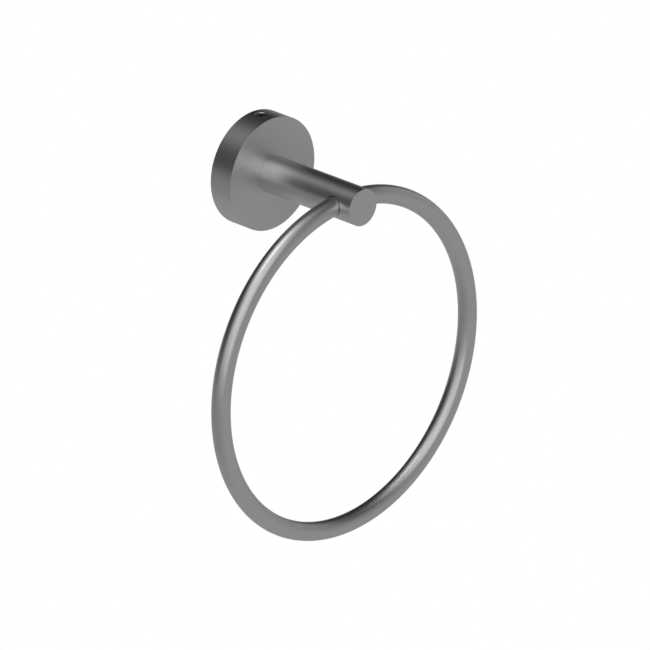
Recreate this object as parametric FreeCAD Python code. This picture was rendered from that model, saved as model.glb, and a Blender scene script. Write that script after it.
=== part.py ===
"""Wall mounted towel ring: a round rose, a straight post and a ring that hangs in the post.

Millimetres, +Z up. The wall is the plane Y = 0 and the towel ring stands out from it towards -Y.
The origin is the centre of the rose on the wall.
"""

import os
from math import asin, cos, degrees, radians, sin, sqrt, tan

import FreeCAD
import Part

# Rose: the turned round cover on the wall.
rose_diameter = 55.5
rose_depth = 13.0
rose_face_thickness = 3.5
rose_wall_thickness = 5.25
rose_inner_corner_chamfer = 0.8

# Post: the straight bar that carries the ring.
post_diameter = 18.0
post_length = 59.0
spigot_diameter = 10.0
spigot_width_over_flats = 8.0
spigot_setback = 0.2
post_thread_depth = 14.0

# Ring: one bent rod, open at the top, its two ends in sockets in the sides of the post.
ring_centreline_diameter = 164.0
ring_rod_diameter = 9.0
ring_distance_from_post_end = 11.0
ring_end_chamfer = 0.6
socket_web_thickness = 4.0
socket_play = 0.05
socket_end_gap = 0.3

# Wall bracket: the dished plate that is screwed to the wall and hidden in the rose.
bracket_clearance = 0.3
bracket_front_gap = 1.5
bracket_plate_thickness = 3.0
bracket_rim_thickness = 3.2
bracket_hole_clearance = 0.75
bracket_lead_in = 0.5
groove_depth = 1.4
groove_setback = 2.5
wall_slot_width = 4.5
wall_slot_length = 7.0

# Grub screw: the cone point screw in the top of the rose that grips the bracket's groove.
grub_diameter = 5.0
grub_length = 6.0
grub_tip_radius = 0.4
grub_tip_gap = 0.07
grub_hex_width = 2.5
grub_hex_depth = 3.0
grub_end_chamfer = 0.3
grub_countersink_diameter = 5.6

# Fixing screw, flat washer and spring washer that hold the post to the rose from behind.
fixing_screw_diameter = 6.0
fixing_screw_length = 16.0
fixing_head_diameter = 10.5
fixing_head_height = 3.3
fixing_hex_width = 4.0
fixing_hex_depth = 2.2
fixing_end_chamfer = 0.8
flat_washer_diameter = 18.0
flat_washer_thickness = 1.6
flat_washer_hole_clearance = 0.2
spring_washer_diameter = 11.8
spring_washer_thickness = 1.6
spring_washer_split = 1.0
spring_washer_split_lean = 25.0

# Shared finish and fit values.
outer_edge_chamfer = 0.3
seam_chamfer = 0.15
mouth_chamfer = 0.2
thread_play = 0.05
spigot_play = 0.05
drill_point_angle = 118.0

# Places that follow from the sizes above. Depths are distances from the wall.
rose_radius = rose_diameter / 2
cavity_radius = rose_radius - rose_wall_thickness
cavity_floor_depth = rose_depth - rose_face_thickness
post_radius = post_diameter / 2
post_end_depth = rose_depth + post_length
ring_depth = post_end_depth - ring_distance_from_post_end
ring_radius = ring_centreline_diameter / 2
rod_radius = ring_rod_diameter / 2
ring_end_offset = socket_web_thickness / 2 + socket_end_gap

# The rod is bent and its sockets are straight. The rod touches a socket first with its outer side
# at the ring's end, and with its inner side at the mouth. The ring is set at the height that
# shares the play between the two, so it turns freely in the sockets.
rod_top_above_ring_centre = sqrt((ring_radius + rod_radius) ** 2 - ring_end_offset**2)
rod_bottom_above_ring_centre = sqrt((ring_radius - rod_radius) ** 2 - post_radius**2)
ring_centre_height = -(rod_top_above_ring_centre + rod_bottom_above_ring_centre) / 2
socket_radius = (rod_top_above_ring_centre - rod_bottom_above_ring_centre) / 2 + socket_play

bracket_radius = cavity_radius - bracket_clearance
bracket_height = cavity_floor_depth - bracket_front_gap
bracket_rim_inner_radius = bracket_radius - bracket_rim_thickness
bracket_hole_radius = fixing_head_diameter / 2 + bracket_hole_clearance
wall_slot_distance = (bracket_hole_radius + bracket_rim_inner_radius) / 2
groove_bottom_radius = bracket_radius - groove_depth
grub_depth = bracket_height - groove_setback
grub_radius = grub_diameter / 2

X = FreeCAD.Vector(1, 0, 0)
Y = FreeCAD.Vector(0, 1, 0)
Z = FreeCAD.Vector(0, 0, 1)
ORIGIN = FreeCAD.Vector(0, 0, 0)


def at(x, depth, z=0.0):
    """A point at a depth from the wall."""
    return FreeCAD.Vector(x, -depth, z)


def turned(outline):
    """A turned piece on the rose's axis, from its (radius, depth) outline."""
    points = [at(radius, depth) for radius, depth in outline]
    face = Part.Face(Part.makePolygon(points + points[:1]))
    return face.revolve(ORIGIN, Y, 360)


def bar(radius, near_depth, far_depth):
    """A round bar on the rose's axis between two depths."""
    return Part.makeCylinder(radius, far_depth - near_depth, at(0, near_depth), -Y)


def round_edges(shape, radius, depth):
    """The circular edges on the rose's axis with this radius and depth."""
    found = []
    for edge in shape.Edges:
        curve = edge.Curve
        if not isinstance(curve, Part.Circle):
            continue
        same_radius = abs(curve.Radius - radius) < 1e-6
        same_place = (curve.Center - at(0, depth)).Length < 1e-6
        if same_radius and same_place:
            found.append(edge)
    return found


def hexagon(width_over_flats, depth, centre, direction, across):
    """A hexagonal prism that starts at centre and runs along direction."""
    corner_radius = width_over_flats / 2 / cos(radians(30))
    side = direction.cross(across)
    corners = []
    for angle in range(0, 360, 60):
        toward_corner = across * cos(radians(angle)) + side * sin(radians(angle))
        corners.append(centre + toward_corner * corner_radius)
    return Part.Face(Part.makePolygon(corners + corners[:1])).extrude(direction * depth)


def double_d(diameter, width_over_flats, near_depth, far_depth):
    """A round bar on the rose's axis with a flat above and a flat below."""
    length = far_depth - near_depth
    corner = at(-diameter / 2, far_depth, -width_over_flats / 2)
    flats = Part.makeBox(diameter, length, width_over_flats, corner)
    return bar(diameter / 2, near_depth, far_depth).common(flats)


def make_rose():
    """A turned cup with its mouth to the wall, a keyed hole for the post and a tapped hole on top."""
    cup = bar(rose_radius, 0, rose_depth)
    for depth in (0, rose_depth):
        cup = cup.makeChamfer(outer_edge_chamfer, round_edges(cup, rose_radius, depth))
    cavity = bar(cavity_radius, 0, cavity_floor_depth)
    cavity = cavity.makeChamfer(
        rose_inner_corner_chamfer, round_edges(cavity, cavity_radius, cavity_floor_depth)
    )
    key_hole = double_d(
        spigot_diameter + 2 * spigot_play,
        spigot_width_over_flats + 2 * spigot_play,
        cavity_floor_depth,
        rose_depth,
    )
    return cup.cut(cavity).cut(key_hole).cut(make_grub_hole())


def make_grub_hole():
    """The tapped hole through the top of the rose's wall, countersunk at its mouth."""
    start = cavity_radius - rose_wall_thickness / 2
    bore = Part.makeCylinder(grub_radius, 2 * rose_wall_thickness, at(0, grub_depth, start), Z)
    countersink_radius = grub_countersink_diameter / 2
    countersink_depth = countersink_radius - grub_radius
    countersink = Part.makeCone(
        grub_radius,
        countersink_radius + countersink_depth,
        2 * countersink_depth,
        at(0, grub_depth, rose_radius - countersink_depth),
        Z,
    )
    return bore.fuse(countersink)


def make_post():
    """A solid bar with a keyed spigot and a tapped hole behind, and a blind socket in each side."""
    body = bar(post_radius, rose_depth, post_end_depth)
    body = body.makeChamfer(outer_edge_chamfer, round_edges(body, post_radius, post_end_depth))
    body = body.makeChamfer(seam_chamfer, round_edges(body, post_radius, rose_depth))
    spigot_start = cavity_floor_depth + spigot_setback
    spigot = double_d(spigot_diameter, spigot_width_over_flats, spigot_start, rose_depth)
    body = body.fuse(spigot).removeSplitter()
    body = body.cut(make_tapped_hole(spigot_start))
    for side in (-1, 1):
        body = body.cut(make_socket(side))
    return body.makeChamfer(mouth_chamfer, socket_mouths(body))


def make_tapped_hole(start_depth):
    """The blind hole for the fixing screw, with the drill's point at its end."""
    hole_radius = fixing_screw_diameter / 2
    hole_end = rose_depth + post_thread_depth
    point_length = hole_radius / tan(radians(drill_point_angle / 2))
    point = Part.makeCone(hole_radius, 0, point_length, at(0, hole_end), -Y)
    return bar(hole_radius, start_depth, hole_end).fuse(point)


def make_socket(side):
    """A straight flat bottomed socket for one end of the ring, on the left (-1) or right (+1)."""
    bottom = at(side * socket_web_thickness / 2, ring_depth)
    return Part.makeCylinder(socket_radius, post_radius, bottom, X * side)


def socket_mouths(post):
    """The curved edges where the sockets break out of the post's side, its only freely curved edges."""
    return [edge for edge in post.Edges if isinstance(edge.Curve, Part.BSplineCurve)]


def make_ring():
    """One round rod bent to a circle, its two square ends chamfered to enter the sockets."""
    centre = at(0, ring_depth, ring_centre_height)
    bend_end_offset = ring_end_offset + ring_end_chamfer
    angle = asin(bend_end_offset / ring_radius)
    bend_start = centre + X * (ring_radius * sin(angle)) + Z * (ring_radius * cos(angle))
    to_post = Z * sin(angle) - X * cos(angle)
    section = Part.Face(Part.Wire(Part.makeCircle(rod_radius, bend_start, to_post)))
    rod = section.revolve(centre, Y, 360 - 2 * degrees(angle))
    tip = Part.makeCone(rod_radius, rod_radius - ring_end_chamfer, ring_end_chamfer, bend_start, to_post)
    return rod.fuse([tip, tip.mirror(ORIGIN, X)]).removeSplitter()


def make_wall_bracket():
    """A round dished plate with a grooved rim, a centre hole and two slots for the wall screws."""
    plate = turned(
        [
            (bracket_hole_radius, 0),
            (bracket_radius, 0),
            (bracket_radius, grub_depth - groove_depth),
            (groove_bottom_radius, grub_depth),
            (bracket_radius, grub_depth + groove_depth),
            (bracket_radius, bracket_height - bracket_lead_in),
            (bracket_radius - bracket_lead_in, bracket_height),
            (bracket_rim_inner_radius, bracket_height),
            (bracket_rim_inner_radius, bracket_plate_thickness),
            (bracket_hole_radius, bracket_plate_thickness),
        ]
    )
    for side in (-1, 1):
        plate = plate.cut(make_wall_slot(side * wall_slot_distance))
    return plate


def make_wall_slot(centre_x):
    """A level slot with round ends through the bracket's plate, for one wall screw."""
    radius = wall_slot_width / 2
    reach = (wall_slot_length - wall_slot_width) / 2
    corner = at(centre_x - reach, bracket_plate_thickness, -radius)
    slot = Part.makeBox(2 * reach, bracket_plate_thickness, wall_slot_width, corner)
    for end_x in (centre_x - reach, centre_x + reach):
        slot = slot.fuse(Part.makeCylinder(radius, bracket_plate_thickness, at(end_x, 0), -Y))
    return slot


def make_grub_screw():
    """A headless screw with a cone point and a hexagon socket, seated in the bracket's groove."""
    radius = grub_radius - thread_play
    cone_apex = groove_bottom_radius + grub_tip_gap
    tip = cone_apex + grub_tip_radius
    top = tip + grub_length
    outline = [
        (0, tip),
        (grub_tip_radius, tip),
        (radius, cone_apex + radius),
        (radius, top - grub_end_chamfer),
        (radius - grub_end_chamfer, top),
        (0, top),
    ]
    points = [at(x, grub_depth, z) for x, z in outline]
    screw = Part.Face(Part.makePolygon(points + points[:1]))
    screw = screw.revolve(at(0, grub_depth), Z, 360)
    return screw.cut(hexagon(grub_hex_width, grub_hex_depth, at(0, grub_depth, top), -Z, X))


def make_flat_washer():
    """A wide washer that spans the keyed hole on the inside of the rose."""
    near = cavity_floor_depth - flat_washer_thickness
    washer = bar(flat_washer_diameter / 2, near, cavity_floor_depth)
    hole_radius = fixing_screw_diameter / 2 + flat_washer_hole_clearance
    return washer.cut(bar(hole_radius, near, cavity_floor_depth))


def make_spring_washer():
    """A split washer, pressed flat under the head, with a slanted cut."""
    far = cavity_floor_depth - flat_washer_thickness
    near = far - spring_washer_thickness
    outer_radius = spring_washer_diameter / 2
    washer = bar(outer_radius, near, far).cut(bar(fixing_screw_diameter / 2 + thread_play, near, far))
    middle = (near + far) / 2
    reach = 2 * spring_washer_thickness
    corner = at(0, middle + reach, -spring_washer_split / 2)
    cut = Part.makeBox(2 * outer_radius, 2 * reach, spring_washer_split, corner)
    cut.rotate(at(0, middle), X, spring_washer_split_lean)
    return washer.cut(cut)


def make_fixing_screw():
    """A button head screw with a hexagon socket, its head towards the wall."""
    seat = cavity_floor_depth - flat_washer_thickness - spring_washer_thickness
    shank_radius = fixing_screw_diameter / 2 - thread_play
    shank = bar(shank_radius, seat, seat + fixing_screw_length)
    shank = shank.makeChamfer(
        fixing_end_chamfer, round_edges(shank, shank_radius, seat + fixing_screw_length)
    )
    head_radius = fixing_head_diameter / 2
    dome_radius = (head_radius**2 + fixing_head_height**2) / (2 * fixing_head_height)
    dome = Part.makeSphere(dome_radius, at(0, seat - fixing_head_height + dome_radius))
    head = dome.common(bar(head_radius, seat - fixing_head_height, seat))
    socket = hexagon(fixing_hex_width, fixing_hex_depth, at(0, seat - fixing_head_height), -Y, X)
    return head.fuse(shank).removeSplitter().cut(socket)


pieces = {
    "rose": make_rose,
    "post": make_post,
    "ring": make_ring,
    "wall_bracket": make_wall_bracket,
    "grub_screw": make_grub_screw,
    "fixing_screw": make_fixing_screw,
    "flat_washer": make_flat_washer,
    "spring_washer": make_spring_washer,
}

os.makedirs("parts", exist_ok=True)
for name, make in pieces.items():
    make().exportStep(f"parts/{name}.step")
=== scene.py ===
"""Wall mounted towel ring in satin steel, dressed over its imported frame.

Metres, +Z up. The wall is the plane Y = 0 and the towel ring stands out towards -Y.
"""

import math

import bpy
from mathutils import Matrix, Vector


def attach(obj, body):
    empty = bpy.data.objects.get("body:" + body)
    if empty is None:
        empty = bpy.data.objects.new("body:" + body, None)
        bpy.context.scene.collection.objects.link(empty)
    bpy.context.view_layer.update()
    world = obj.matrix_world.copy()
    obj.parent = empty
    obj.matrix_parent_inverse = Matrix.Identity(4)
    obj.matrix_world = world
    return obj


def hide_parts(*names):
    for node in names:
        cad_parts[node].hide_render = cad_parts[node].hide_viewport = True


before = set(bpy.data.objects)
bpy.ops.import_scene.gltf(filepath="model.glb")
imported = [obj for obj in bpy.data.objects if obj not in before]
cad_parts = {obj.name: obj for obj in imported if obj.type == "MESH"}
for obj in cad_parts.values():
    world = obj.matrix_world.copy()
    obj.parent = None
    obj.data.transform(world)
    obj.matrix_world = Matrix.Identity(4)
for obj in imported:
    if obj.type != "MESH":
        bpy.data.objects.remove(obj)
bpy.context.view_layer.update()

# Wall bracket. A turned stainless steel dish that two screws hold to the wall before anything else
# goes up. Its rim has a V groove for the grub screw's point, and its floor two level slots and a
# hole that leaves room for the fixing screw's head.

MM = 0.001
around = 192
medium_around = 96
small_around = 64
bracket_radius = 22.2 * MM
bracket_height = 8.0 * MM
bracket_rim = 3.2 * MM
bracket_floor = 3.0 * MM
bracket_lead_in = 0.5 * MM
bracket_soft_edge = 0.15 * MM
bracket_hole_radius = 6.0 * MM
bracket_hole_edge = 0.12 * MM
bracket_hole_limit = 17.0 * MM
bracket_cut_start = -1.0 * MM
bracket_cut_end = 5.0 * MM
groove_middle = 5.5 * MM
groove_half_width = 1.4 * MM
groove_bottom_radius = 20.8 * MM
slot_distance = 12.5 * MM
slot_radius = 2.25 * MM
slot_reach = 1.25 * MM
turned_dark = (0.52, 0.51, 0.49, 1)
turned_pale = (0.6, 0.6, 0.585, 1)
turned_roughness = 0.3
turned_relief = 0.004 * MM
tool_mark_scale = 700.0
close = 0.01 * MM
sharp_angle = math.radians(30)
smooth_angle = math.radians(40)


def deselect_all():
    """Nothing is left selected, in object mode."""
    if bpy.context.object and bpy.context.object.mode != "OBJECT":
        bpy.ops.object.mode_set(mode="OBJECT")
    bpy.ops.object.select_all(action="DESELECT")


def edit(piece, what):
    """The piece alone is opened in edit mode, with nothing or everything in it selected."""
    deselect_all()
    piece.select_set(True)
    bpy.context.view_layer.objects.active = piece
    bpy.ops.object.mode_set(mode="EDIT")
    bpy.ops.mesh.select_mode(type="VERT")
    bpy.ops.mesh.select_all(action=what)


def settle(piece, name):
    """The piece gets its name, and its place and turn go into its mesh."""
    piece.name = name
    piece.data.name = name
    bpy.ops.object.transform_apply(location=True, rotation=True, scale=True)
    return piece


def add_bar(name, radius, near, far, vertices=around, centre=(0.0, 0.0), axis="Y"):
    """A closed round bar between two distances from the wall, or between two places on X or Z."""
    deselect_all()
    middle = (near + far) / 2
    place = {
        "Y": (centre[0], -middle, centre[1]),
        "X": (middle, centre[0], centre[1]),
        "Z": (centre[0], centre[1], middle),
    }[axis]
    turn = {"Y": (math.pi / 2, 0, 0), "X": (0, math.pi / 2, 0), "Z": (0, 0, 0)}[axis]
    bpy.ops.mesh.primitive_cylinder_add(
        vertices=vertices, radius=radius, depth=abs(far - near), location=place, rotation=turn
    )
    return settle(bpy.context.object, name)


def select_faces(piece, wanted):
    """Edit mode with only the faces selected for which wanted(centre, normal) holds."""
    edit(piece, "DESELECT")
    bpy.ops.mesh.select_mode(type="FACE")
    bpy.ops.object.mode_set(mode="OBJECT")
    for face in piece.data.polygons:
        face.select = wanted(face.center, face.normal)
    bpy.ops.object.mode_set(mode="EDIT")


def select_points(piece, wanted):
    """Edit mode with only the points selected for which wanted(place) holds, and their edges."""
    edit(piece, "DESELECT")
    bpy.ops.object.mode_set(mode="OBJECT")
    for point in piece.data.vertices:
        point.select = wanted(point.co)
    bpy.ops.object.mode_set(mode="EDIT")


def slice_at(piece, place, normal, trim=False):
    """A cut straight through the piece. With trim, what lies on the normal's side is taken off."""
    edit(piece, "SELECT")
    bpy.ops.mesh.bisect(plane_co=place, plane_no=normal, use_fill=trim, clear_outer=trim)
    bpy.ops.object.mode_set(mode="OBJECT")


def inset(width):
    """The selected faces get a frame of that width inside their edge."""
    bpy.ops.mesh.inset(thickness=width, use_even_offset=True)


def push(distance):
    """The selected faces are extruded away from the wall, or towards it if negative."""
    bpy.ops.mesh.extrude_region_move(TRANSFORM_OT_translate={"value": (0, -distance, 0)})


def spread(factors, centre):
    """The selection is scaled about a point."""
    bpy.ops.transform.resize(value=factors, center_override=centre)
    bpy.ops.object.mode_set(mode="OBJECT")


def break_edge(piece, wanted, width, segments=3):
    """The sharp edges between the wanted points are rounded over a small width."""
    edit(piece, "DESELECT")
    bpy.ops.mesh.select_mode(type="EDGE")
    bpy.ops.mesh.edges_select_sharp(sharpness=sharp_angle)
    bpy.ops.object.mode_set(mode="OBJECT")
    points = piece.data.vertices
    chosen = [
        edge.index
        for edge in piece.data.edges
        if edge.select and all(wanted(points[end].co) for end in edge.vertices)
    ]
    edit(piece, "DESELECT")
    bpy.ops.mesh.select_mode(type="EDGE")
    bpy.ops.object.mode_set(mode="OBJECT")
    for index in chosen:
        piece.data.edges[index].select = True
    bpy.ops.object.mode_set(mode="EDIT")
    bpy.ops.mesh.bevel(offset=width, segments=segments, affect="EDGES", clamp_overlap=True)
    bpy.ops.object.mode_set(mode="OBJECT")


def combine(piece, other, operation="DIFFERENCE"):
    """The other shape is cut out of the piece or joined to it, and is then removed."""
    deselect_all()
    bpy.context.view_layer.objects.active = piece
    change = piece.modifiers.new("change", "BOOLEAN")
    change.operation = operation
    change.solver = "EXACT"
    change.object = other
    bpy.ops.object.modifier_apply(modifier=change.name)
    bpy.data.objects.remove(other)


def smooth(piece):
    """Round surfaces are shaded smooth, sharp edges stay sharp, and large flats stay flat."""
    deselect_all()
    piece.select_set(True)
    bpy.context.view_layer.objects.active = piece
    bpy.ops.object.shade_smooth_by_angle(angle=smooth_angle)
    normals = piece.modifiers.new("normals", "WEIGHTED_NORMAL")
    normals.keep_sharp = True
    bpy.ops.object.modifier_apply(modifier=normals.name)


def from_axis(place):
    """Distance from the axis of the rose, bracket and post."""
    return math.hypot(place.x, place.z)


bracket = add_bar("bracket_plate", bracket_radius, 0, bracket_height)
for depth in (groove_middle - groove_half_width, groove_middle, groove_middle + groove_half_width):
    slice_at(bracket, (0, -depth, 0), (0, 1, 0))
select_points(bracket, lambda place: abs(place.y + groove_middle) < close)
groove_factor = groove_bottom_radius / bracket_radius
spread((groove_factor, 1, groove_factor), (0, -groove_middle, 0))
select_faces(bracket, lambda centre, normal: centre.y < close - bracket_height)
inset(bracket_rim)
push(bracket_floor - bracket_height)
bpy.ops.object.mode_set(mode="OBJECT")
break_edge(
    bracket,
    lambda place: place.y < close - bracket_height and from_axis(place) > bracket_radius - close,
    bracket_lead_in,
    1,
)
break_edge(
    bracket,
    lambda place: place.y < close - bracket_height
    and from_axis(place) < bracket_radius - bracket_rim + close,
    bracket_soft_edge,
    2,
)
break_edge(
    bracket,
    lambda place: place.y > -close and from_axis(place) > bracket_radius - close,
    bracket_soft_edge,
    2,
)
cut_ends = (bracket_cut_start, bracket_cut_end)
combine(bracket, add_bar("centre_hole", bracket_hole_radius, *cut_ends, medium_around))
for side in (-1, 1):
    slot_middle = side * slot_distance
    slot = add_bar("slot", slot_radius, *cut_ends, small_around, (slot_middle, 0))
    for end in (-1, 1):
        select_points(slot, lambda place: end * (place.x - slot_middle) > close)
        bpy.ops.transform.translate(value=(end * slot_reach, 0, 0))
        bpy.ops.object.mode_set(mode="OBJECT")
    combine(bracket, slot)
for depth in (0, bracket_floor):
    break_edge(
        bracket,
        lambda place: abs(place.y + depth) < close and from_axis(place) < bracket_hole_limit,
        bracket_hole_edge,
        2,
    )
smooth(bracket)


class Socket:
    """One output in a shader, so that maths on it can be written as an expression."""

    def __init__(self, finish, output):
        self.finish = finish
        self.output = output

    def maths(self, operation, *values):
        return self.finish.node(
            "ShaderNodeMath", {"operation": operation}, dict(enumerate(values))
        )

    def __add__(self, other):
        return self.maths("ADD", self, other)

    def __radd__(self, other):
        return self.maths("ADD", other, self)

    def __sub__(self, other):
        return self.maths("SUBTRACT", self, other)

    def __rsub__(self, other):
        return self.maths("SUBTRACT", other, self)

    def __mul__(self, other):
        return self.maths("MULTIPLY", self, other)

    def __rmul__(self, other):
        return self.maths("MULTIPLY", other, self)

    def rise(self, start, end):
        """0 at start, 1 at end, and a soft rise between them."""
        return self.finish.node(
            "ShaderNodeMapRange",
            {"interpolation_type": "SMOOTHSTEP"},
            {"Value": self, "From Min": start, "From Max": end},
        )


class Finish:
    """A procedural material or surround, and the one method that adds its nodes."""

    def __init__(self, owner, shader="Principled BSDF", coordinates="Object"):
        owner.use_nodes = True
        self.owner = owner
        self.nodes = owner.node_tree.nodes
        self.links = owner.node_tree.links
        self.surface = self.nodes[shader]
        self.place = self.node("ShaderNodeTexCoord", output=coordinates)
        split = self.node("ShaderNodeSeparateXYZ", {}, {"Vector": self.place}).output.node.outputs
        self.across, self.away = Socket(self, split["X"]), Socket(self, split["Y"])

    def node(self, kind, settings=None, values=None, output=0):
        made = self.nodes.new(kind)
        for name, value in (settings or {}).items():
            setattr(made, name, value)
        for name, value in (values or {}).items():
            self.feed(made.inputs[name], value)
        return Socket(self, made.outputs[output])

    def feed(self, entry, value):
        if isinstance(value, Socket):
            self.links.new(value.output, entry)
        else:
            entry.default_value = value

    def noise(self, scale, detail, stretch=(1, 1, 1)):
        """A soft noise around 0.5, finer along an axis with a larger stretch."""
        place = self.node("ShaderNodeMapping", {}, {"Vector": self.place, "Scale": stretch})
        return self.node(
            "ShaderNodeTexNoise", {}, {"Vector": place, "Scale": scale, "Detail": detail}
        )

    def mix(self, factor, first, second):
        """A colour between two others. The node's colour sockets have numbers, not names."""
        return self.node(
            "ShaderNodeMix",
            {"data_type": "RGBA"},
            {0: factor, 6: first, 7: second},
            output=2,
        )

    def set(self, **values):
        for name, value in values.items():
            self.feed(self.surface.inputs[name.replace("_", " ")], value)

    def bump(self, height, distance, strength):
        """Fine relief on the surface."""
        self.set(
            Normal=self.node(
                "ShaderNodeBump", {}, {"Strength": strength, "Distance": distance, "Height": height}
            )
        )


turned = Finish(bpy.data.materials.new("turned_steel"))
tool_marks = turned.node(
    "ShaderNodeTexWave",
    {"wave_type": "RINGS", "rings_direction": "Y"},
    {
        "Vector": turned.place,
        "Scale": tool_mark_scale,
        "Distortion": 1.2,
        "Detail": 2.0,
        "Detail Scale": 1.5,
    },
)
stain = turned.noise(90.0, 4.0)
turned.set(
    Metallic=1.0,
    Base_Color=turned.mix(stain, turned_dark, turned_pale),
    Roughness=turned_roughness + stain * 0.08 + tool_marks * 0.04,
)
turned.bump(tool_marks, turned_relief, 0.5)
bracket.data.materials.append(turned.owner)
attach(bracket, "wall_mount")
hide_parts("wall_bracket")

# Rose. A round stainless steel cup turned from bar, open to the wall, that hides the bracket. Its
# face has a keyed hole for the post, the top of its wall a tapped hole with a small countersink,
# and it is finished all over with a fine even satin.

rose_radius = 27.75 * MM
rose_depth = 13.0 * MM
rose_wall = 5.25 * MM
rose_cavity_floor = 9.5 * MM
rose_cavity_corner = 0.8 * MM
rose_edge = 0.07 * MM
rose_around = 256
key_hole_radius = 5.05 * MM
key_hole_half_height = 4.05 * MM
key_hole_cut_start = 8.0 * MM
key_hole_cut_end = 15.0 * MM
grub_depth = 5.5 * MM
grub_hole_radius = 2.5 * MM
grub_hole_cut_start = 20.0 * MM
grub_hole_cut_end = 30.0 * MM
countersink_radius = 2.8 * MM
countersink_depth = 0.3 * MM
countersink_overshoot = 0.5 * MM
facing = 0.9
satin_dark = (0.68, 0.68, 0.68, 1)
satin_pale = (0.73, 0.73, 0.73, 1)
satin_roughness = 0.39
satin_relief = 0.002 * MM
oiled_dark = (0.32, 0.28, 0.25, 1)
oiled_pale = (0.56, 0.5, 0.45, 1)
oiled_roughness = 0.32
oiled_relief = 0.004 * MM


def add_keyed_bar(name, radius, half_height, near, far):
    """A round bar along the post's axis, with a flat above and below."""
    bar = add_bar(name, radius, near, far, medium_around)
    for side in (-1, 1):
        slice_at(bar, (0, 0, side * half_height), (0, 0, side), trim=True)
    return bar


rose = add_bar("rose_cover", rose_radius, 0, rose_depth, rose_around)
select_faces(rose, lambda centre, normal: normal.y > facing)
inset(rose_wall)
push(rose_cavity_floor)
bpy.ops.object.mode_set(mode="OBJECT")
break_edge(rose, lambda place: abs(place.y + rose_cavity_floor) < close, rose_cavity_corner, 4)
for depth in (0, rose_depth):
    break_edge(
        rose,
        lambda place: abs(place.y + depth) < close and from_axis(place) > rose_radius - close,
        rose_edge,
    )
cut_ends = (key_hole_cut_start, key_hole_cut_end)
combine(rose, add_keyed_bar("key_hole", key_hole_radius, key_hole_half_height, *cut_ends))
grub_axis = (0, -grub_depth)
cut_ends = (grub_hole_cut_start, grub_hole_cut_end)
combine(rose, add_bar("grub_hole", grub_hole_radius, *cut_ends, small_around, grub_axis, "Z"))
countersink_top = rose_radius + countersink_overshoot
countersink = add_bar(
    "countersink",
    grub_hole_radius,
    rose_radius - countersink_depth,
    countersink_top,
    small_around,
    grub_axis,
    "Z",
)
select_points(countersink, lambda place: place.z > rose_radius)
countersink_factor = (countersink_radius + countersink_overshoot) / grub_hole_radius
spread((countersink_factor, countersink_factor, 1), (*grub_axis, countersink_top))
combine(rose, countersink)
smooth(rose)

satin = Finish(bpy.data.materials.new("fine_satin"))
satin_grain = satin.noise(2600.0, 3.0)
satin_drift = satin.noise(22.0, 3.0)
fine_rubs = satin.noise(160.0, 5.0, (1, 1, 6)).rise(0.62, 0.78)
satin.set(
    Metallic=1.0,
    Base_Color=satin.mix(
        (satin_drift - 0.5) * 0.6 + (satin_grain - 0.5) * 0.5 + 0.5, satin_dark, satin_pale
    ),
    Roughness=satin_roughness
    + (satin_grain - 0.5) * 0.06
    + (satin_drift - 0.5) * 0.03
    - fine_rubs * 0.015,
)
satin.bump(satin_grain, satin_relief, 0.4)
rose.data.materials.append(satin.owner)

oiled = Finish(bpy.data.materials.new("oiled_steel"))
oil = oiled.noise(700.0, 4.0)
oiled.set(
    Metallic=1.0,
    Base_Color=oiled.mix(oil, oiled_dark, oiled_pale),
    Roughness=oiled_roughness + oil * 0.16,
)
oiled.bump(oiled.noise(3200.0, 2.0), oiled_relief, 0.4)
rose.data.materials.append(oiled.owner)


def in_grub_hole(centre, normal):
    """The tapped hole below its countersink."""
    from_hole = math.hypot(centre.x, centre.y + grub_depth)
    upright = abs(normal.z) < 0.3
    return upright and centre.z > grub_hole_cut_start and from_hole < grub_hole_radius + close


select_faces(rose, in_grub_hole)
rose.active_material_index = 1
bpy.ops.object.material_slot_assign()
bpy.ops.object.mode_set(mode="OBJECT")
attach(rose, "wall_mount")
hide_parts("rose")

# Post. A straight solid bar with a keyed spigot that sits in the rose's face, held from behind by
# one screw. Each side has a blind round socket near the end for the ring. Same satin finish.

post_radius = 9.0 * MM
post_end = 72.0 * MM
post_around = 256
spigot_radius = 5.0 * MM
spigot_half_height = 4.0 * MM
spigot_start = 9.7 * MM
spigot_end = 20.0 * MM
tapped_radius = 3.0 * MM
tapped_bottom = 27.0 * MM
drill_point = 1.8 * MM
drill_point_factor = 0.02
ring_depth = 61.0 * MM
socket_around = 160
socket_radius = 4.797 * MM
socket_web = 4.0 * MM
socket_edge = 0.2 * MM
socket_cut_end = 12.0 * MM
mouth_start = 6.0 * MM
cut_margin = 1.0 * MM
seam_edge = 0.15 * MM
end_edge = 0.07 * MM

post = add_bar("post_bar", post_radius, rose_depth, post_end, post_around)
for depth, width in ((rose_depth, seam_edge), (post_end, end_edge)):
    break_edge(post, lambda place: abs(place.y + depth) < close, width)
combine(
    post,
    add_keyed_bar("spigot", spigot_radius, spigot_half_height, spigot_start, spigot_end),
    "UNION",
)
drill = add_bar("drill", tapped_radius, spigot_start - cut_margin, tapped_bottom, small_around)
select_faces(drill, lambda centre, normal: normal.y < -facing)
push(drill_point)
spread((drill_point_factor, 1, drill_point_factor), (0, -tapped_bottom - drill_point, 0))
combine(post, drill)
for side in (-1, 1):
    cut_ends = (side * socket_web / 2, side * socket_cut_end)
    socket_axis = (-ring_depth, 0)
    combine(post, add_bar("socket", socket_radius, *cut_ends, socket_around, socket_axis, "X"))
    break_edge(
        post,
        lambda place: side * place.x > mouth_start
        and abs(math.hypot(place.y + ring_depth, place.z) - socket_radius) < close,
        socket_edge,
    )
smooth(post)
post.data.materials.append(satin.owner)
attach(post, "wall_mount")
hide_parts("post")

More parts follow.
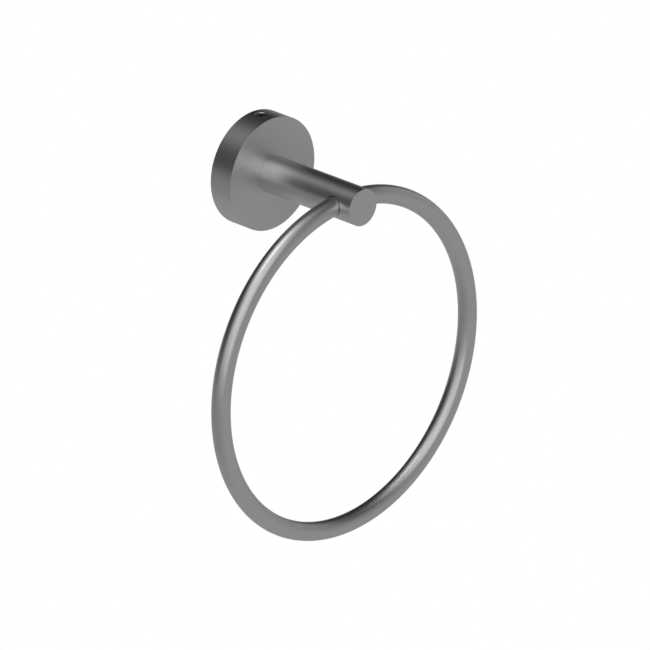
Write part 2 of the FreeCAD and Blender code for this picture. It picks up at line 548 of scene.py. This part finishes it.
# Ring. One round stainless steel rod bent to a circle, with its two ends turned to a small cone.
# The ends are sprung apart to pass over the post and drop into its sockets, where they hang loose.

ring_radius = 82.0 * MM
ring_steps = 320
rod_radius = 4.5 * MM
rod_around = 64
ring_centre_z = -81.7225 * MM
bend_end_across = 2.9 * MM
tip_length = 0.6 * MM
merge_distance = 0.001 * MM
tip_radius = 3.9 * MM
bend_end_angle = math.asin(bend_end_across / ring_radius)


def bend_end(side):
    """The middle of the rod where its bend ends, on the left (-1) or right (+1)."""
    across = side * ring_radius * math.sin(bend_end_angle)
    return Vector((across, -ring_depth, ring_centre_z + ring_radius * math.cos(bend_end_angle)))


deselect_all()
bpy.ops.mesh.primitive_circle_add(
    vertices=rod_around,
    radius=rod_radius,
    location=bend_end(1),
    rotation=(0, math.pi / 2 + bend_end_angle, 0),
)
ring = settle(bpy.context.object, "ring_rod")
edit(ring, "SELECT")
bpy.ops.mesh.spin(
    steps=ring_steps,
    angle=2 * math.pi - 2 * bend_end_angle,
    center=(0, -ring_depth, ring_centre_z),
    axis=(0, -1, 0),
)
bpy.ops.mesh.select_all(action="SELECT")
bpy.ops.mesh.remove_doubles(threshold=merge_distance)
bpy.ops.object.mode_set(mode="OBJECT")
for side in (-1, 1):
    middle = bend_end(side)
    along = Vector((-side * math.cos(bend_end_angle), 0, math.sin(bend_end_angle)))
    select_points(
        ring,
        lambda place: (place - middle).length < rod_radius + close
        and abs((place - middle).dot(along)) < close,
    )
    bpy.ops.mesh.extrude_region_move(TRANSFORM_OT_translate={"value": tuple(along * tip_length)})
    bpy.ops.mesh.edge_face_add()
    tip_factor = tip_radius / rod_radius
    spread((tip_factor, tip_factor, tip_factor), tuple(middle + along * tip_length))
edit(ring, "SELECT")
bpy.ops.mesh.remove_doubles(threshold=merge_distance)
bpy.ops.mesh.normals_make_consistent(inside=False)
bpy.ops.object.mode_set(mode="OBJECT")
smooth(ring)
ring.data.materials.append(satin.owner)
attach(ring, "ring")
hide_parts("ring")

# Grub screw. An M5 screw in dark oiled steel, driven down through the top of the rose until its
# cone point sits in the bracket's groove. Only its hexagon socket shows.

grub_radius = 2.45 * MM
grub_top = 27.27 * MM
grub_cone_top = 23.32 * MM
grub_point = 21.27 * MM
grub_point_radius = 0.4 * MM
grub_hexagon = 2.5 * MM
grub_hexagon_depth = 3.0 * MM
grub_edge = 0.3 * MM


def add_hexagon(name, across_flats, near, far, centre=(0.0, 0.0), axis="Y"):
    """A six sided key's shape."""
    return add_bar(name, across_flats / math.sqrt(3), near, far, 6, centre, axis)


grub = add_bar(
    "grub_screw_body", grub_radius, grub_cone_top, grub_top, small_around, grub_axis, "Z"
)
select_faces(grub, lambda centre, normal: normal.z < -facing)
bpy.ops.mesh.extrude_region_move(
    TRANSFORM_OT_translate={"value": (0, 0, grub_point - grub_cone_top)}
)
grub_factor = grub_point_radius / grub_radius
spread((grub_factor, grub_factor, 1), (*grub_axis, grub_point))
break_edge(grub, lambda place: place.z > grub_top - close, grub_edge, 2)
key_ends = (grub_top - grub_hexagon_depth, grub_top + cut_margin)
combine(grub, add_hexagon("key", grub_hexagon, *key_ends, grub_axis, "Z"))
smooth(grub)
grub.data.materials.append(oiled.owner)
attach(grub, "wall_mount")
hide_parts("grub_screw")

# Fixing screw. An M6 button head screw in plain stainless steel that pulls the post's spigot into
# the rose from behind. Its domed head has a hexagon socket that faces the wall.

head_radius = 5.25 * MM
head_start = 3.0 * MM
head_end = 6.3 * MM
head_hexagon = 4.0 * MM
head_hexagon_depth = 2.2 * MM
shank_radius = 2.95 * MM
shank_end = 22.3 * MM
shank_edge = 0.8 * MM
head_height = head_end - head_start
dome_radius = (head_radius**2 + head_height**2) / (2 * head_height)
dome_start = 0.1 * MM
dome_step = 0.25 * MM
dome_steps = 12
facing_squarely = 0.95
plain_dark = (0.46, 0.46, 0.455, 1)
plain_pale = (0.56, 0.56, 0.555, 1)
plain_roughness = 0.26
plain_relief = 0.005 * MM


def dome_width(rise):
    """Distance from the axis to the head's dome, at a height above the head's seat."""
    return math.sqrt(dome_radius**2 - (rise + dome_radius - head_height) ** 2)


screw = add_bar("fixing_screw_body", head_radius, head_end - dome_start, head_end, medium_around)
width = head_radius
for step in range(dome_steps):
    rise = dome_start + step * dome_step
    factor = dome_width(rise) / width
    select_faces(
        screw, lambda centre, normal: normal.y > facing_squarely and from_axis(centre) < close
    )
    if step:
        push(-dome_step)
    spread((factor, 1, factor), (0, rise - head_end, 0))
    width = dome_width(rise)
select_faces(screw, lambda centre, normal: normal.y < -facing_squarely)
inset(head_radius - shank_radius)
push(shank_end - head_end)
bpy.ops.object.mode_set(mode="OBJECT")
break_edge(screw, lambda place: place.y < close - shank_end, shank_edge, 1)
key_ends = (head_start - cut_margin, head_start + head_hexagon_depth)
combine(screw, add_hexagon("key", head_hexagon, *key_ends))
smooth(screw)

plain = Finish(bpy.data.materials.new("plain_steel"))
plain_marks = plain.noise(900.0, 3.0)
plain.set(
    Metallic=1.0,
    Base_Color=plain.mix(plain_marks, plain_dark, plain_pale),
    Roughness=plain_roughness + plain_marks * 0.1,
)
plain.bump(plain_marks, plain_relief, 0.3)
screw.data.materials.append(plain.owner)
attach(screw, "wall_mount")
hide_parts("fixing_screw")

# Washers. A split spring washer under the screw's head and a flat washer on the rose's face, both
# stamped from plain stainless steel. They keep the shapes that the frame gives them.

for node_name in ("spring_washer", "flat_washer"):
    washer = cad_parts[node_name]
    washer.data.materials.clear()
    washer.data.materials.append(plain.owner)

# Studio. A floor far below that glows with painted light: dimmer far to the left and brighter far
# behind on the right. Soft glows in the surround give the rest of the light: the strongest high up
# behind on the left, broad ones in front on the left and weak ones on the right. The camera, which
# sees the floor and surround as plain white, stands where the photograph's did.

floor_size = 600.0
floor_depth = 6.0
floor_glow = 0.25
floor_glow_right = 0.107
floor_glow_behind = 0.12
right_part = (-8.0, -2.2)
far_part = (4.0, 40.0)
glows = (
    # azimuth, elevation and width in degrees, then brightness
    (-132, 77, 16, 1.86),
    (-140, 65, 30, 0.34),
    (-85, 67, 19, 1.31),
    (-110, 55, 20, 0.37),
    (-55, 40, 25, 0.70),
    (-18, 43, 20, 1.07),
    (-20, 20, 15, 0.92),
    (-40, 0, 15, 1.18),
    (-28, -2, 30, 0.52),
    (-74, 16, 44, 0.585),
    (0, 75, 25, 0.54),
    (32, 2, 51, 0.288),
    (87, 16, 31, 0.372),
    (134, 0, 12, 0.3),
)
picture_width = 650
picture_scale = 2140.12
sensor_width = 36
camera_azimuth = -45.381
camera_elevation = 23.252
camera_distance = 3.9586
camera_shift_across = 0.0336865
camera_shift_up = -0.0741408

deselect_all()
bpy.ops.mesh.primitive_plane_add(size=floor_size, location=(0, 0, -floor_depth))
floor = settle(bpy.context.object, "floor")
# The floor's base colour is black: its whiteness and its light are painted on as emission.
floor_light = Finish(bpy.data.materials.new("glowing_floor"))
seen = floor_light.node("ShaderNodeLightPath", output="Is Camera Ray")
on_the_right = floor_light.across.rise(*right_part)
far_behind = floor_light.away.rise(*far_part) * floor_light.across.rise(*far_part)
# Painted light on the floor: an even glow, dimmer far to the left and brighter far behind on the
# right; camera rays see plain white instead.
lit = floor_glow + on_the_right * floor_glow_right + far_behind * floor_glow_behind
floor_light.set(
    Base_Color=(0, 0, 0, 1),
    Roughness=1.0,
    Specular_IOR_Level=0.0,
    Emission_Color=floor_light.mix(lit * (1 - seen) + seen, (0, 0, 0, 1), (1, 1, 1, 1)),
    Emission_Strength=1.0,
)
floor.data.materials.append(floor_light.owner)


def towards(azimuth, elevation):
    """The direction of a point on the surround. Azimuth 0 is in front and 90 on the right."""
    azimuth, elevation = math.radians(azimuth), math.radians(elevation)
    return Vector(
        (
            math.sin(azimuth) * math.cos(elevation),
            -math.cos(azimuth) * math.cos(elevation),
            math.sin(elevation),
        )
    )


world = bpy.data.worlds.new("studio")
bpy.context.scene.world = world
surround = Finish(world, "Background", "Generated")
glow = 0
for azimuth, elevation, width, brightness in glows:
    nearness = surround.node(
        "ShaderNodeVectorMath",
        {"operation": "DOT_PRODUCT"},
        {0: surround.place, 1: towards(azimuth, elevation)},
        output="Value",
    )
    glow = glow + nearness.rise(math.cos(math.radians(width)), 1.0) * brightness
seen = surround.node("ShaderNodeLightPath", output="Is Camera Ray")
surround.set(Color=glow * (1 - seen) + seen)

backwards = towards(camera_azimuth, camera_elevation)
rightwards = -towards(camera_azimuth - 90, 0)
upwards = backwards.cross(rightwards)
camera = bpy.data.objects.new("camera", bpy.data.cameras.new("camera"))
bpy.context.scene.collection.objects.link(camera)
camera.location = (
    rightwards * camera_shift_across + upwards * camera_shift_up + backwards * camera_distance
)
camera.rotation_euler = (-backwards).to_track_quat("-Z", "Y").to_euler()
camera.data.sensor_width = sensor_width
camera.data.lens = picture_scale * camera_distance / picture_width * sensor_width
camera.data.clip_end = 100
bpy.context.scene.camera = camera
bpy.context.scene.view_settings.view_transform = "Standard"
